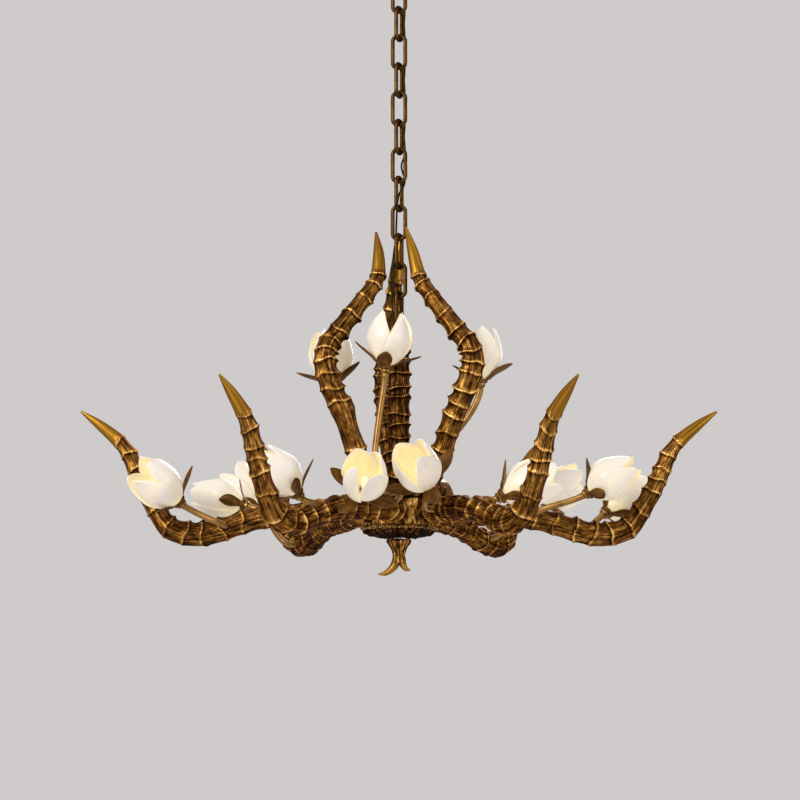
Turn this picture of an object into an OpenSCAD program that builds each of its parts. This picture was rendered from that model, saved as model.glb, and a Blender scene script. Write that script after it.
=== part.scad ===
// Resin branch chandelier: ribbed horns on a central hub, flower shades on curved stems, hung on a link chain.
// Millimetres, +Z up. The origin is the middle of the canopy's flat face on the ceiling, -Y faces the viewer.

/* [Chain] */
// Thickness of the wire that a link is bent from
link_wire = 6.2; // [5.4:0.1:6.6]
// Clear length inside a link
link_inside = 44.8; // [42:0.1:50]
// Width of a link over its wire
link_width = 25.5; // [25:0.5:29]
// Straight part in the middle of each end of a link
link_flat = 2; // [1:0.5:3]
// Space left between two links where they hang in each other
link_gap = 0.3; // [0.2:0.05:0.4]
// Turn of the odd links about the chain, from the width of the light
turn_odd = -5; // [-8:1:0]
// Turn of the even links about the chain
turn_even = 64; // [62:1:80]

/* [Canopy] */
// Width of the canopy over its rim
canopy_d = 124; // [116:1:150]
// Height of the canopy
canopy_h = 28; // [26:1:36]
// Thickness of the canopy's sheet
canopy_wall = 1.5; // [1:0.1:2]
// Distance between the two ceiling screws
screw_span = 84; // [76:1:90]
// Width of the slots for the ceiling screws
screw_slot = 5; // [4.6:0.1:5.6]
// Inside radius of the canopy's loop
loop_inside = 8; // [7.6:0.1:9]

/* [Rod, column and hub] */
// Radius of the rod that ties the column, the hub and the finial together
rod_r = 5; // [4:0.1:6]
// Inside radius of the eye on top of the rod
eye_inside = 7.5; // [7.4:0.1:8.5]
// Radius of the column over its ribs
column_r = 19.5; // [18.5:0.1:21]
// Length of the column
column_len = 214; // [206:1:224]
// Number of ribs on the column
column_ribs = 11; // [9:1:13]
// Distance from the axis to each of the hub's six flats
hub_flat = 50; // [49:0.5:54]
// Turn of the hub's flats, and so of the horns' roots
hub_turn = 28; // [24:1:30]
// Height of the hub's body
hub_h = 41; // [40:1:44]
// Radius of the crown plate, which carries the upright horns
plate_r = 72; // [70:1:76]
// Thickness of the crown plate
plate_h = 19; // [17:1:22]

/* [Horns] */
// Thickness of every horn, as a share of its drawn thickness
horn_girth = 1; // [0.92:0.01:1.04]
// Height of a rib's crest, as a share of the horn's radius
rib_rise = 0.08; // [0.04:0.01:0.1]
// Depth of the groove behind a rib, as a share of the horn's radius
rib_groove = 0.06; // [0.03:0.01:0.09]
// Slant of a rib, as a share of the horn's radius
rib_slant = 0.12; // [0.04:0.01:0.16]
// Radius of the studs that hold the horns
stud_r = 4; // [3:0.1:4.5]

/* [Flowers] */
// Height of a flower shade
shade_h = 84; // [78:1:88]
// Radius of a flower shade where it is widest
shade_r = 32.5; // [28:0.5:33.5]
// Thickness of a petal
petal_wall = 1.8; // [1.6:0.1:2.2]
// Step between a petal's edge and the edge that it overlaps
petal_step = 1.6; // [1:0.1:2]
// Height of the calyx leaves
sepal_h = 30; // [26:1:33]
// Radius of a flower's stem
stem_r = 4.9; // [4.4:0.1:5.1]
// Radius of the bead under a flower
bead_r = 8.4; // [8:0.1:9]

/* [Cord] */
// Width of the power cord
cord_d = 3; // [2.4:0.1:3.2]

/* [Hidden] */
$fn = 48;
LINKS = 12;
// clearance of a rod or a stud in its hole, measured on the radius
bore_gap = 0.3;
stud_gap = 0.15;
link_pitch = link_inside - link_gap;
end_r = (link_width - link_flat) / 2 - link_wire / 2;
collar_h = 8;
loop_z = -(canopy_h + collar_h + 2 + link_wire + loop_inside);
first_link_z = loop_z - loop_inside + link_gap - link_inside / 2;
last_link_z = first_link_z - (LINKS - 1) * link_pitch;
eye_z = last_link_z - link_inside / 2 + link_gap - eye_inside;
eye_foot = eye_z - eye_inside - link_wire;
hub_z = eye_foot - 13.7 - column_len - plate_h - hub_h + 18;
hub_low = -18;
hub_top = hub_low + hub_h;
plate_top = hub_top + plate_h;
column_top = plate_top + column_len;
band_r = hub_flat + 7.5;
HORNS = 6;
CROWN = [210, 330, 100];
CROWN_LEAN = [1, 1, 0.4];

// Middle line of an outward horn: out, sideways, up from the hub's middle, then the horn's radius there
root_xy = [(hub_flat + 0.05) * cos(hub_turn), (hub_flat + 0.05) * sin(hub_turn)];
ARM = [
    [root_xy[0], root_xy[1], 3, 17],
    [90, 26, 3, 17.5],
    [150, 14, 0, 17.5],
    [211, 11, -6, 17.5],
    [265, 5, -22, 18],
    [291, 2, -28, 18.5],
    [318, 0, -28, 18.5],
    [345, 0, -18, 17.5],
    [363, 0, 6, 15.5],
    [381, 0, 36, 14.5],
    [396, 0, 68, 13.5],
    [406, 0, 90, 12.5],
    [421, 0, 110, 10.5],
    [452, 0, 136, 6],
    [480, 0, 156, 1.2]
];
// Where the ribs of an outward horn stand along that line, in points of the list
ARM_RIBS = [0.35, 0.9, 1.4, 1.85, 2.35, 2.85, 3.4, 4, 5, 5.95, 7, 8, 9, 9.45, 10, 11, 12];

// Middle line and radius of an upright horn
UP = [
    [54, 0, plate_top + 0.05, 14],
    [63, 0, 68, 14.5],
    [75, 0, 95, 15.5],
    [93, 0, 143, 16.5],
    [114, 0, 184, 17.5],
    [126, 0, 218, 17.5],
    [123, -1, 245, 16.5],
    [105, -2, 268, 15.5],
    [75, -2, 305, 14],
    [46, -1, 342, 12.5],
    [36, -2, 360, 11],
    [30, -10, 397, 6.5],
    [26, -25, 433, 1.2]
];
UP_RIBS = [0.6, 1.3, 2, 2.5, 3, 3.5, 4, 4.6, 5.2, 5.8, 6.4, 7.1, 7.8, 8.5, 9.2, 10];

// Flowers: horn number (-1 is the crown plate), place along the horn and side angle round it (or x, y on the plate),
// foot of the flower and the way it faces, from the hub's middle, then how far its petal tips stand open
FLOWERS = [
    [3, 3.8, 5, [-321, -36, 12], [-0.68, -0.5, 0.53], 0.7],
    [3, 2.65, 170, [-228, 34, 15], [-0.95, 0.22, 0.25], 0.7],
    [2, 5.3, 0, [-219, 282, 24], [-0.6, 0.25, 0.75], 0.7],
    [4, 2.7, 165, [-141, -143, 14], [-0.62, -0.3, 0.66], 0.62],
    [4, 0.7, 45, [-50, -158, 18], [0.02, -0.93, 0.34], 0.98],
    [5, 0.95, 180, [42, -132, 31], [-0.28, -0.85, 0.42], 0.9],
    [-1, -38, -54, [-20, -50, 209], [0.12, -0.11, 0.98], 0.5],
    [-1, -36, 18, [-104, 8, 190], [0, 0.1, 0.99], 0.55],
    [-1, 42, 21, [123, 8, 195], [0.02, 0.1, 0.99], 0.55],
    [5, 2.6, 35, [140, -172, 10], [0.85, 0.15, 0.4], 0.7],
    [1, 4.2, 170, [210, 225, 39], [0.85, 0.1, 0.35], 0.75],
    [0, 2.9, 165, [276, -36, 27], [0.8, -0.38, 0.47], 0.62],
    [0, 4.4, 5, [309, 36, 2], [0.72, 0.45, 0.53], 0.7],
    [1, 0.7, 45, [50, 158, 18], [-0.02, 0.93, 0.34], 0.98],
    [2, 0.95, 180, [-42, 132, 31], [0.28, 0.85, 0.42], 0.9]
];

// Route of the power cord: beside the upper links, through the eighth, in front of the last ones, into the column
ROUTE = [
    [16, 8, -14],
    [16, 8, -24],
    [15.5, 8, -35],
    [13, 7, -48],
    [10, 5.9, -65],
    [8.8, 5.5, -82],
    [8.8, 5.5, -107],
    [7.9, 3, -127],
    [8.8, 5.5, -147],
    [8.8, 5.5, -196],
    [7.9, 3, -216],
    [8.8, 5.5, -235],
    [8.8, 5.5, -285],
    [7.9, 3, -304],
    [9, 5.8, -330],
    [3.7, 5.9, -349],
    [8.8, 5.5, -371],
    [5.7, 3.7, -384],
    [0.2, -0.4, -394],
    [-2.9, 6.1, -412],
    [-3.9, 6.1, -438],
    [-5, 6.2, -464],
    [-7.6, 0.4, -483],
    [-9.5, -5.3, -502],
    [-10.5, -6.3, -527],
    [-10.5, -6.7, -552],
    [-10, -6.6, -572],
    [-9.4, -7.8, -594],
    [-9, -9, -614],
    [-9, -9, -629],
    [-9, -9, -641]
];
cord_exit = [16, 8];
cord_hole = [-9, -9];

function number_name(n) = str(n < 10 ? "0" : "", n);

function unit(v) = v / norm(v);
function turned(v, a) = [v[0] * cos(a) - v[1] * sin(a), v[0] * sin(a) + v[1] * cos(a), v[2]];
function first3(p) = [p[0], p[1], p[2]];
function curve(a, b, c, d, u) =
    ((2 * b) + (c - a) * u + (2 * a - 5 * b + 4 * c - d) * u * u + (3 * b - a - 3 * c + d) * u * u * u) / 2;

// Point of a smooth curve through the points of a list, t counts the points
function on_curve(list, t) =
    let (last = len(list) - 1, i = min(last - 1, floor(t)))
    curve(list[max(0, i - 1)], list[i], list[i + 1], list[min(last, i + 2)], t - i);
function along(list, t) =
    let (last = len(list) - 1)
    unit(first3(on_curve(list, min(last, t + 0.04)) - on_curve(list, max(0, t - 0.04))));

// One ring of points about c, square to way, leaning back by slant at the angle at
function ring(c, way, side, r, sides, slant = 0, at = 0) =
    let (s = unit(side - way * (side * way)), up = cross(way, s))
    [for (k = [0:sides - 1]) let (a = 360 * k / sides)
        c + s * (r * cos(a)) + up * (r * sin(a)) + way * (slant * r * cos(a - at))];

// Solid through a list of rings, closed with a flat fan at each end
module loft(rings) {
    sides = len(rings[0]);
    count = len(rings);
    points = [for (one = rings) for (p = one) p];
    walls = [for (i = [0:count - 2]) for (k = [0:sides - 1])
        let (a = i * sides + k, b = i * sides + (k + 1) % sides) each [[a, a + sides, b], [b, a + sides, b + sides]]];
    foot = [for (k = [1:sides - 2]) [0, k, k + 1]];
    top = (count - 1) * sides;
    head = [for (k = [1:sides - 2]) [top, top + k + 1, top + k]];
    polyhedron(points = points, faces = concat(walls, foot, head), convexity = 6);
}

// Stations of a horn: place on the line, share of the radius, slant and direction of the slant
function horn_stations(line, ribs) =
    let (last = len(line) - 1, n = len(ribs))
    concat(
        [for (k = [0:n - 1])
            let (last_one = k > 0 ? ribs[k - 1] : 0)
            each [
                [ribs[k] - 0.26 * (ribs[k] - last_one), 1 - rib_groove, rib_slant, 70 * k],
                [ribs[k], 1 + rib_rise * (1 - 0.25 * sin(137 * k)), rib_slant, 70 * k]
            ]],
        [[last - 1, 1, 0, 0], [last - 0.45, 1, 0, 0], [last, 1, 0, 0]]
    );

module horn(line, ribs, root_way) {
    stations = horn_stations(line, ribs);
    root = [ring(first3(line[0]), root_way, [-root_way[1], root_way[0] + root_way[2], 0], line[0][3] * horn_girth, 8)];
    body = [for (s = stations) let (p = on_curve(line, s[0]))
        ring(first3(p), along(line, s[0]), [0, 1, 0], p[3] * s[1] * horn_girth, 8, s[2], s[3])];
    loft(concat(root, body));
}

function root_way() = [cos(hub_turn), sin(hub_turn), 0];
function arm_turn(n) = 60 * n;

// The place where a flower's stem leaves a horn, and the way it leaves
function stem_start(f) =
    f[0] < 0 ? [[f[1], f[2], plate_top - 8], [0, 0, 1]] :
    let (
        p = on_curve(ARM, f[1]),
        way = along(ARM, f[1]),
        s = unit([0, 1, 0] - way * way[1]),
        up = cross(way, s),
        out = s * cos(f[2]) + up * sin(f[2]),
        a = arm_turn(f[0])
    )
    [turned(first3(p) + out * (p[3] * 0.5), a), turned(out, a)];

function hermite(a, da, b, db, u) =
    a * (2 * u * u * u - 3 * u * u + 1) + da * (u * u * u - 2 * u * u + u)
    + b * (3 * u * u - 2 * u * u * u) + db * (u * u * u - u * u);
function hermite_way(a, da, b, db, u) =
    unit(a * (6 * u * u - 6 * u) + da * (3 * u * u - 4 * u + 1) + b * (6 * u - 6 * u * u) + db * (3 * u * u - 2 * u));

// A stem runs straight out of its hole, then curves to the flower's foot
module stem(f) {
    start = stem_start(f);
    inset = f[0] < 0 ? 12 : 14;
    a = start[0] + start[1] * inset;
    b = f[3];
    far = unit(f[4]);
    reach = norm(b - a);
    da = start[1] * reach * 0.9;
    db = far * reach * 0.9;
    side = unit(cross(start[1], far + [0.01, 0.02, 0.03]));
    loft(concat(
        [ring(start[0], start[1], side, stem_r, 8)],
        [for (u = [0, 0.25, 0.5, 0.75, 1])
            ring(hermite(a, da, b, db, u), hermite_way(a, da, b, db, u), side, stem_r, 8)]
    ));
}

// The drilled hole that a stem stands in
module stem_hole(f) {
    start = stem_start(f);
    aim(start[0] - start[1] * 0.4, start[1]) cylinder(r = stem_r + 0.25, h = 60);
}

// Turns +Z to the direction way, with the foot at p
module aim(p, way, roll = 0) {
    w = unit(way);
    translate(p) rotate([0, acos(max(-1, min(1, w[2]))), atan2(w[1], w[0])]) rotate([0, 0, roll]) children();
}

module at_flower(f) {
    translate([0, 0, hub_z]) aim(f[3], f[4], 20) children();
}

// Wall of a cup with petals: up the outside and down the inside, round the petals
module petal_cup(petals, per, rows, profile, h, wall, notch, cupping, step, gap) {
    n = petals * per;
    span = 360 / petals;
    up = [for (v = rows) [v, 0]];
    down = [for (i = [len(rows) - 1:-1:0]) [rows[i], wall]];
    loops = concat(up, down);
    points = [for (q = loops) for (k = [0:n - 1])
        let (
            s = -1 + 2 * (k % per) / (per - 1),
            a = floor(k / per) * span + (span - gap) * (k % per) / (per - 1),
            v = q[0] * (1 - notch * pow(abs(s), 1.5)),
            r = lookup(v, profile) * (1 + cupping * v * (1 - s * s)) + step * s * min(1, 3 * v) - q[1]
        )
        [r * cos(a), r * sin(a), h * v + (q[0] == 0 ? q[1] * 0.5 : 0)]];
    rings = len(loops);
    faces = [for (i = [0:rings - 1]) for (k = [0:n - 1])
        let (
            a = i * n + k,
            b = i * n + (k + 1) % n,
            c = ((i + 1) % rings) * n + k,
            d = ((i + 1) % rings) * n + (k + 1) % n
        )
        each [[a, c, b], [b, c, d]]];
    polyhedron(points = points, faces = faces, convexity = 8);
}

SHADE_PROFILE = [[0, 8.5], [0.3, shade_r * 0.92], [0.62, shade_r * 0.98]];
CALYX_PROFILE = [[0, 10.2], [0.5, 23.5], [1, 40]];
seat_z = 8.2;
shade_z = seat_z + 3.4;

module flower_shade(n) {
    color("ivory") at_flower(FLOWERS[n - 1]) translate([0, 0, shade_z])
        petal_cup(4, 5, [0, 0.3, 0.62, 1], concat(SHADE_PROFILE, [[1, shade_r * FLOWERS[n - 1][5]]]), shade_h,
            petal_wall, 0.25, 0.05, petal_step, 6);
}

module calyx_cups() {
    color("saddlebrown") for (f = FLOWERS) at_flower(f) translate([0, 0, seat_z])
        petal_cup(3, 4, [0, 0.5, 1], CALYX_PROFILE, sepal_h, 1.8, 0.72, 0, 0, 30);
}

module lamp_holder() {
    difference() {
        rotate_extrude() polygon([
            [0, 0], [bead_r - 2, 0], [bead_r, 2], [bead_r, 4.5], [bead_r - 1.2, 5.6], [10, 6.6], [10, 8], [7.9, 8],
            [7.9, shade_z - 0.2], [5.2, shade_z - 0.2], [5.2, 24], [0, 24]
        ]);
        for (x = [-2, 2]) translate([x, 0, 17]) cylinder(r = 0.5, h = 8, $fn = 24);
    }
}

module lamp_holders() {
    color("goldenrod") for (f = FLOWERS) at_flower(f) lamp_holder();
}

module lamp_bulb() {
    translate([0, 0, 24]) rotate_extrude() polygon([
        [0, 0], [3.6, 0], [3.6, 6], [4.8, 8], [4.8, 24], [3.4, 27.6], [0, 29]
    ]);
    for (x = [-2, 2]) translate([x, 0, 18]) cylinder(r = 0.4, h = 7, $fn = 24);
}

module lamp_bulbs() {
    color("lightyellow") for (f = FLOWERS) at_flower(f) lamp_bulb();
}

module flower_stems() {
    color("peru") translate([0, 0, hub_z]) for (f = FLOWERS) stem(f);
}

module arm_horn(n) {
    color("darkgoldenrod") translate([0, 0, hub_z]) difference() {
        rotate([0, 0, arm_turn(n - 1)]) difference() {
            horn(ARM, ARM_RIBS, root_way());
            translate([0, 0, 3]) rotate([0, 90, hub_turn]) cylinder(r = stud_r + stud_gap, h = hub_flat + 24);
        }
        for (f = FLOWERS) if (f[0] == n - 1) stem_hole(f);
    }
}

module crown_horn(n) {
    lean = CROWN_LEAN[n - 1];
    line = [for (p = UP) [p[0], p[1] * lean, p[2], p[3]]];
    color("goldenrod") translate([0, 0, hub_z]) rotate([0, 0, CROWN[n - 1]]) difference() {
        horn(line, UP_RIBS, [0, 0, 1]);
        translate([54, 0, plate_top - 1]) cylinder(r = stud_r + stud_gap, h = 19);
    }
}

module horn_studs() {
    color("silver") translate([0, 0, hub_z]) {
        for (n = [0:HORNS - 1]) rotate([0, 0, arm_turn(n)]) translate([0, 0, 3]) rotate([0, 90, hub_turn])
            translate([0, 0, hub_flat - 23]) cylinder(r = stud_r, h = 46);
        for (a = CROWN) rotate([0, 0, a]) translate([54, 0, plate_top - 15]) cylinder(r = stud_r, h = 32);
    }
}

module hub_core() {
    color("sienna") translate([0, 0, hub_z]) difference() {
        translate([0, 0, hub_low]) rotate([0, 0, hub_turn + 30]) cylinder(r = hub_flat / cos(30), h = hub_h, $fn = 6);
        translate([0, 0, hub_low - 1]) cylinder(r = rod_r + bore_gap, h = hub_h + 2);
        for (n = [0:HORNS - 1]) rotate([0, 0, arm_turn(n)]) translate([0, 0, 3]) rotate([0, 90, hub_turn])
            translate([0, 0, hub_flat - 24]) cylinder(r = stud_r + stud_gap, h = 30);
        translate([cord_hole[0], cord_hole[1], 10]) cylinder(r = 3, h = hub_h);
    }
}

module crown_plate() {
    color("chocolate") translate([0, 0, hub_z]) difference() {
        rotate_extrude() polygon([
            [rod_r + bore_gap, hub_top], [plate_r - 12, hub_top], [plate_r - 3, hub_top + 6],
            [plate_r, hub_top + 12], [plate_r - 1.5, plate_top], [rod_r + bore_gap, plate_top]
        ]);
        for (a = CROWN) rotate([0, 0, a]) translate([54, 0, plate_top - 16]) cylinder(r = stud_r + stud_gap, h = 20);
        for (f = FLOWERS) if (f[0] < 0) stem_hole(f);
        translate([cord_hole[0], cord_hole[1], hub_top - 1]) cylinder(r = 3, h = plate_h + 2);
    }
}

// Profile of the ribbed column: each rib swells to a crest and falls back
function column_profile() =
    let (pitch = column_len / column_ribs)
    concat(
        [[rod_r + bore_gap, plate_top]],
        [for (n = [0:column_ribs - 1]) let (z = plate_top + n * pitch) each [
            [column_r - 3.4, z],
            [column_r - 2.8, z + pitch * 0.5],
            [column_r, z + pitch * 0.78],
            [column_r - 0.6, z + pitch * 0.9]
        ]],
        [[column_r - 3.4, column_top], [rod_r + bore_gap, column_top]]
    );

module column() {
    color("darkgoldenrod") translate([0, 0, hub_z]) difference() {
        rotate_extrude() polygon(column_profile());
        translate([cord_hole[0], cord_hole[1], plate_top - 1]) cylinder(r = 3, h = column_len + 2);
    }
}

module column_cap() {
    color("tan") translate([0, 0, hub_z + column_top]) difference() {
        rotate_extrude() polygon([
            [rod_r + bore_gap, 0], [column_r, 0], [column_r + 0.4, 1.5], [column_r - 1, 4], [column_r - 5, 5],
            [rod_r + bore_gap, 5]
        ]);
        translate([cord_hole[0], cord_hole[1], -1]) cylinder(r = cord_d / 2 + 0.25, h = 8);
    }
}

module eye_bolt() {
    foot = hub_low - 40;
    color("dimgray") translate([0, 0, eye_z]) {
        rotate([0, 0, turn_odd]) rotate([90, 0, 0]) rotate_extrude()
            translate([eye_inside + link_wire / 2, 0]) circle(r = link_wire / 2);
        translate([0, 0, hub_z + foot - eye_z]) cylinder(r = rod_r, h = eye_foot - hub_z - foot + link_wire / 2);
        translate([0, 0, hub_z + column_top + 5 - eye_z]) cylinder(r = 9, h = 3);
    }
}

module bead_band() {
    color("gold") translate([0, 0, hub_z + hub_low]) rotate_extrude() polygon([
        [rod_r + bore_gap, -6], [band_r - 4.5, -6], [band_r - 1.5, -5], [band_r, -3], [band_r - 1.5, -1],
        [band_r - 4.5, 0], [rod_r + bore_gap, 0]
    ]);
}

module lower_dish() {
    color("maroon") translate([0, 0, hub_z + hub_low - 6]) rotate_extrude() polygon([
        [rod_r + bore_gap, 0], [band_r - 3.5, 0], [band_r - 5.5, -4], [band_r - 13.5, -7.5], [30, -10], [14, -11],
        [rod_r + bore_gap, -11]
    ]);
}

module finial_washer() {
    color("silver") translate([0, 0, hub_z + hub_low - 19]) difference() {
        cylinder(r = 14, h = 2);
        translate([0, 0, -1]) cylinder(r = rod_r + bore_gap, h = 4);
    }
}

finial_z = hub_low - 19;
module finial_cap() {
    color("peru") translate([0, 0, hub_z + finial_z]) difference() {
        rotate_extrude() polygon([
            [0, 0], [18.5, 0], [18.8, -3], [17.5, -6], [13, -12], [9.6, -19], [9, -25], [10, -31], [11, -36], [0, -36]
        ]);
        translate([0, 0, -22]) cylinder(r = rod_r + bore_gap, h = 24);
    }
}

module finial_horns() {
    left = [[-5, 0, finial_z - 36.05, 4.6], [-10, 0, -80, 4.4], [-20, 0, -88, 3], [-31, 0, -89, 0.8]];
    right = [[5, 0, finial_z - 36.05, 4.6], [7, 0, -78, 4], [11, 0, -82, 2.6], [17, 0, -83, 0.8]];
    color("goldenrod") translate([0, 0, hub_z]) for (line = [left, right])
        loft([for (t = [0, 0.5, 1, 1.5, 2, 2.5, 3]) let (p = on_curve(line, t))
            ring(first3(p), t == 0 ? [0, 0, -1] : along(line, t), [0, 1, 0], p[3], 8)]);
}

// One link: two straight sides and two ends, each end with a short straight part in the middle
module chain_link(n) {
    half = link_inside / 2 + link_wire / 2;
    side_x = link_width / 2 - link_wire / 2;
    color(n % 2 == 1 ? "dimgray" : "gray")
    translate([0, 0, first_link_z - (n - 1) * link_pitch]) rotate([0, 0, n % 2 == 1 ? turn_odd : turn_even]) {
        for (x = [-side_x, side_x]) translate([x, 0, -(half - end_r)]) cylinder(r = link_wire / 2, h = 2 * (half - end_r));
        for (m = [0, 1]) mirror([0, 0, m]) {
            translate([-link_flat / 2, 0, half]) rotate([0, 90, 0]) cylinder(r = link_wire / 2, h = link_flat);
            for (x = [0, 1]) mirror([x, 0, 0]) translate([link_flat / 2, 0, half - end_r]) rotate([90, 0, 0])
                rotate_extrude(angle = 90) translate([end_r, 0]) circle(r = link_wire / 2);
        }
    }
}

module canopy_cover() {
    r = canopy_d / 2;
    w = canopy_wall;
    hole = rod_r + bore_gap;
    color("darkkhaki") difference() {
        rotate_extrude() polygon([
            [r, 0], [r, -3], [r - 3, -6], [r - 14, -13], [r - 30, -20], [24, -canopy_h + 2], [20, -canopy_h],
            [hole, -canopy_h], [hole, -canopy_h + w], [20 - w / 2, -canopy_h + w], [24, -canopy_h + 2 + w],
            [r - 30 - w / 2, -20 + w], [r - 14 - w, -13 + w], [r - 3 - w, -6 + w], [r - w, -3], [r - w, 0]
        ]);
        translate([cord_exit[0], cord_exit[1], -canopy_h - 5]) cylinder(r = 3.2, h = 12);
    }
}

module ceiling_crossbar() {
    color("lightgray") difference() {
        translate([-screw_span / 2 - 8, -9, -2.5]) cube([screw_span + 16, 18, 2.5]);
        for (x = [-screw_span / 2, screw_span / 2]) {
            for (dx = [-4, 4]) translate([x + dx, 0, -3]) cylinder(r = screw_slot / 2, h = 4);
            translate([x - 4, -screw_slot / 2, -3]) cube([8, screw_slot, 4]);
        }
        translate([0, 0, -3]) cylinder(r = rod_r + bore_gap, h = 4);
    }
}

module canopy_loop() {
    top = loop_z + loop_inside + link_wire;
    color("dimgray") {
        translate([0, 0, loop_z]) rotate([0, 0, turn_even]) rotate([90, 0, 0]) rotate_extrude()
            translate([loop_inside + link_wire / 2, 0]) circle(r = link_wire / 2);
        translate([0, 0, top - link_wire / 2]) cylinder(r = rod_r, h = -top + link_wire / 2);
        translate([0, 0, -5.6]) cylinder(r = 8, h = 3);
    }
}

module canopy_collar() {
    color("goldenrod") translate([0, 0, -canopy_h - collar_h]) difference() {
        rotate_extrude() polygon([
            [rod_r + bore_gap, 0], [9, 0], [10.5, 2], [10.5, 6], [9.5, 8], [rod_r + bore_gap, 8]
        ]);
        for (a = [0:30:359]) rotate([0, 0, a]) translate([11.2, 0, -1]) cylinder(r = 1.2, h = 12, $fn = 24);
    }
}

module terminal_block() {
    color("whitesmoke") translate([cord_exit[0] - 6, cord_exit[1] + 2, -14]) difference() {
        translate([0, -8, 0]) cube([12, 26, 10]);
        for (y = [-2, 6, 12]) translate([6, y, 5]) cylinder(r = 1.6, h = 8, $fn = 24);
    }
}

module cord_bush() {
    color("black") translate([cord_exit[0], cord_exit[1], -canopy_h]) difference() {
        union() {
            translate([0, 0, -0.2]) cylinder(r = 2.95, h = 4);
            translate([0, 0, -2.2]) cylinder(r = 4.6, h = 2);
        }
        translate([0, 0, -4]) cylinder(r = cord_d / 2 + 0.2, h = 12);
    }
}

module power_cord() {
    last = len(ROUTE) - 1;
    steps = 1.8;
    color("darkolivegreen") loft([for (i = [0:round(last * steps)]) let (t = min(last, i / steps))
        ring(on_curve(ROUTE, t), along(ROUTE, t), [0, 1, 0], cord_d / 2, 8)]);
}

canopy_cover();
ceiling_crossbar();
canopy_loop();
canopy_collar();
terminal_block();
cord_bush();
power_cord();
eye_bolt();
column();
column_cap();
crown_plate();
hub_core();
bead_band();
lower_dish();
finial_washer();
finial_cap();
finial_horns();
horn_studs();
flower_stems();
calyx_cups();
lamp_holders();
lamp_bulbs();
for (n = [1:LINKS]) chain_link(n);
for (n = [1:HORNS]) arm_horn(n);
for (n = [1:3]) crown_horn(n);
for (n = [1:15]) flower_shade(n);
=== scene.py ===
"""Looks of the resin branch chandelier over its CAD frame: horns, flowers, chain and cord. Metres, +Z up."""
import math

import bpy
import numpy as np
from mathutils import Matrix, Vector


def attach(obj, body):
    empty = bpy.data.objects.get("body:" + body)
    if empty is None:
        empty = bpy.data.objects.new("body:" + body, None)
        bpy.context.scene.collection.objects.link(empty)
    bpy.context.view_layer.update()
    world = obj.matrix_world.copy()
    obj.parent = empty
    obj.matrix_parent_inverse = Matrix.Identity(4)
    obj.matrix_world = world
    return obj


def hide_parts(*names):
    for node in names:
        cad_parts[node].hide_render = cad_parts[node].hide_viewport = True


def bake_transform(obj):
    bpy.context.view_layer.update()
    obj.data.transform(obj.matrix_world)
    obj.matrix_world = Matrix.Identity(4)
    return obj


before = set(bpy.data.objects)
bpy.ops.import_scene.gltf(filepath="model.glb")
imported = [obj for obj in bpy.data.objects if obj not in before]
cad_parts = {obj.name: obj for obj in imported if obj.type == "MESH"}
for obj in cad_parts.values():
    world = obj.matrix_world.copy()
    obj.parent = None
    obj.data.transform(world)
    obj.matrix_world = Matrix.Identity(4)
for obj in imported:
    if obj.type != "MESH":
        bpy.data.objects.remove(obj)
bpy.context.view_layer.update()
MM = 0.001
HUB_Z = -884.8
LIGHT = "chandelier"


# Small helpers
def unit(v):
    """The vector at length 1."""
    v = np.asarray(v, float)
    return v / np.linalg.norm(v)


def smooth(x, a, b):
    """Goes softly from 0 at a to 1 at b."""
    t = np.clip((x - a) / (b - a), 0, 1)
    return t * t * (3 - 2 * t)


def on_curve(points, t):
    """Catmull-Rom curve through the points, t counts the points."""
    points = np.asarray(points, float)
    t = np.atleast_1d(np.asarray(t, float))
    last = len(points) - 1
    i = np.minimum(last - 1, np.floor(t).astype(int))
    u = (t - i)[:, None]
    a, b, c, d = points[np.maximum(0, i - 1)], points[i], points[i + 1], points[np.minimum(last, i + 2)]
    return (2 * b + (c - a) * u + (2 * a - 5 * b + 4 * c - d) * u**2 + (3 * b - a - 3 * c + d) * u**3) / 2


def turn_z(v, deg):
    """Points or vectors turned about the vertical axis."""
    c, s = math.cos(math.radians(deg)), math.sin(math.radians(deg))
    v = np.asarray(v, float)
    return np.stack([v[..., 0] * c - v[..., 1] * s, v[..., 0] * s + v[..., 1] * c, v[..., 2]], -1)


def new_object(name, verts, faces, material, body=LIGHT, slot=None, node=None, layers=None):
    """A mesh object in metres from points in millimetres, with named values on its points."""
    mesh = bpy.data.meshes.new(name)
    verts = np.asarray(verts, float) * MM
    mesh.from_pydata(verts.tolist(), [], [list(map(int, f)) for f in faces])
    for key, values in (layers or {}).items():
        values = np.asarray(values, float)
        kind = "FLOAT" if values.ndim == 1 else "FLOAT_VECTOR"
        layer = mesh.attributes.new(key, kind, "POINT")
        layer.data.foreach_set("value" if kind == "FLOAT" else "vector", values.ravel())
    mesh.validate()
    mesh.update()
    mesh.shade_smooth()
    obj = bpy.data.objects.new(name, mesh)
    bpy.context.scene.collection.objects.link(obj)
    mesh.materials.append(material)
    if body:
        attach(obj, body)
    if node:
        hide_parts(*([node] if isinstance(node, str) else node))
    return obj


def grid_faces(rows, cols, closed=True):
    """Quads between rings or rows of points."""
    span = cols if closed else cols - 1
    i, k = np.meshgrid(np.arange(rows - 1), np.arange(span), indexing="ij")
    k2 = (k + 1) % cols
    quads = np.stack([i * cols + k, i * cols + k2, (i + 1) * cols + k2, (i + 1) * cols + k], -1)
    return quads.reshape(-1, 4).tolist()


def flipped(faces):
    """The same faces, turned to the other side."""
    return [face[::-1] for face in faces]


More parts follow.
